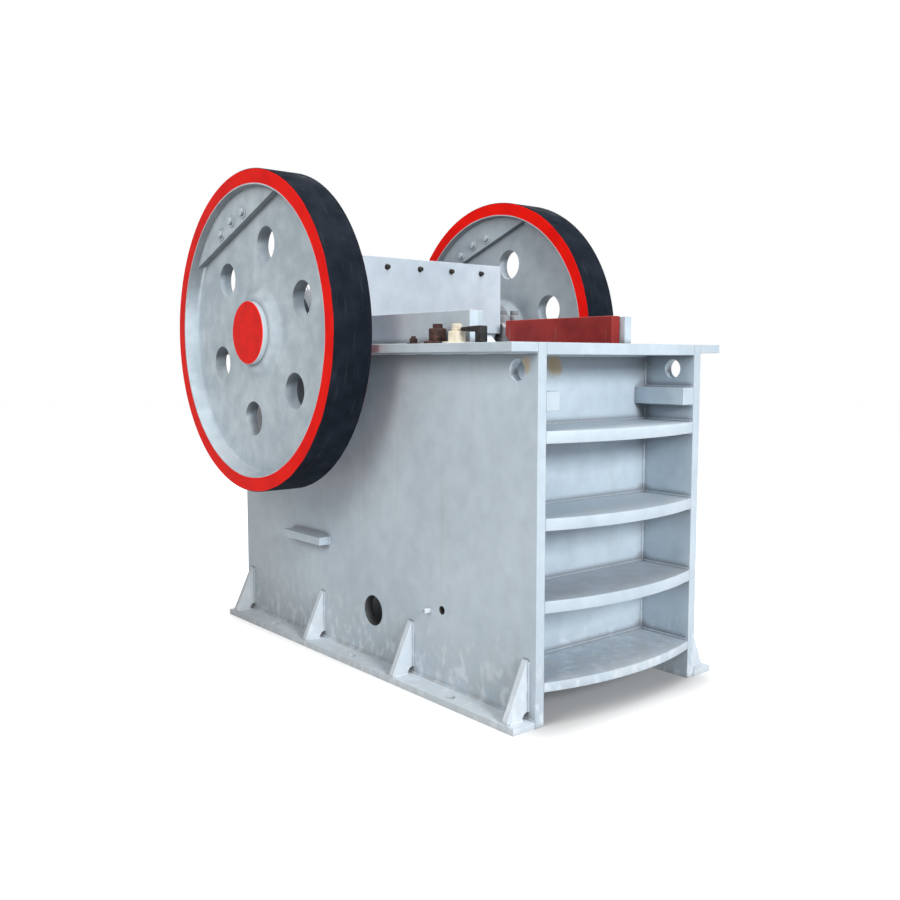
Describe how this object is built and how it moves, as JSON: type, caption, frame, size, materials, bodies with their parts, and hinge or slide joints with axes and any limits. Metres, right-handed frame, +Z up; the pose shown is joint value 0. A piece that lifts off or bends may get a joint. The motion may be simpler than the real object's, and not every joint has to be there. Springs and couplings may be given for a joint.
{
  "type": "jaw crusher",
  "caption": "Single-toggle jaw crusher with a ribbed plate frame, flywheels on an eccentric shaft, a swinging jaw and a toothed crushing chamber.",
  "frame": {"origin": "under the middle of the bounding box, on the floor the feet stand on", "axes": "+X along the eccentric shaft, -Y towards the ribbed front wall, +Z up"},
  "size_m": [1.736, 2.3839, 2.292],
  "materials": {
    "bare_steel": "turned steel, oiled",
    "cap_red": "gloss red enamel",
    "casting_paint": "light blue-grey enamel on castings",
    "flywheel_paint": "grey web, near-black rim, red ring on the rim faces",
    "frame_paint": "light blue-grey enamel, dusty",
    "liner_red": "dark red oxide paint on liners",
    "manganese": "cast manganese steel"
  },
  "bodies": {
    "frame": {"bearing_cap_left": "casting_paint", "bearing_cap_right": "casting_paint", "bearing_seat_left": "casting_paint", "bearing_seat_right": "casting_paint", "cheek_liner_lower_left": "liner_red", "cheek_liner_lower_right": "liner_red", "cheek_liner_upper_left": "liner_red", "cheek_liner_upper_right": "liner_red", "fixed_jaw_plate": "manganese", "foot_gussets_left": "frame_paint", "foot_gussets_right": "frame_paint", "foot_left": "frame_paint", "foot_right": "frame_paint", "front_ribs": "frame_paint", "front_wall": "frame_paint", "jaw_plate_seat": "frame_paint", "lifting_bar_left": "frame_paint", "lifting_bar_right": "frame_paint", "rear_ribs": "frame_paint", "rear_top_tie": "frame_paint", "rear_wall": "frame_paint", "side_guard_left": "frame_paint", "side_guard_right": "frame_paint", "side_plate_left": "frame_paint", "side_plate_right": "frame_paint", "tension_spring": "bare_steel", "toggle_block": "casting_paint", "toggle_guide_left": "frame_paint", "toggle_guide_right": "frame_paint", "toggle_plate": "casting_paint", "toggle_rails": "frame_paint", "toggle_shims": "bare_steel", "top_flange_front": "frame_paint", "top_flange_left": "frame_paint", "top_flange_right": "frame_paint"},
    "rotor": {"eccentric_shaft": "bare_steel", "flywheel_left": "flywheel_paint", "flywheel_right": "flywheel_paint", "hub_cap_left": "cap_red", "hub_cap_right": "cap_red"},
    "swing_jaw": {"jaw_head_cover": "frame_paint", "moving_jaw": "casting_paint", "moving_jaw_plate": "manganese", "tension_rod": "bare_steel", "tension_washer": "bare_steel"}
  },
  "joints": [
    {"name": "flywheel_spin", "type": "hinge", "parent": "frame", "child": "rotor", "pos_m": [0, 0.442, 1.542], "axis": [1, 0, 0], "continuous": true},
    {"name": "jaw_swing", "type": "hinge", "parent": "rotor", "child": "swing_jaw", "pos_m": [0, 0.43653, 1.52696], "axis": [1, 0, 0], "continuous": true}
  ],
  "couplings": [
    {"joint": "jaw_swing", "follows": "flywheel_spin", "ratio": -1}
  ]
}
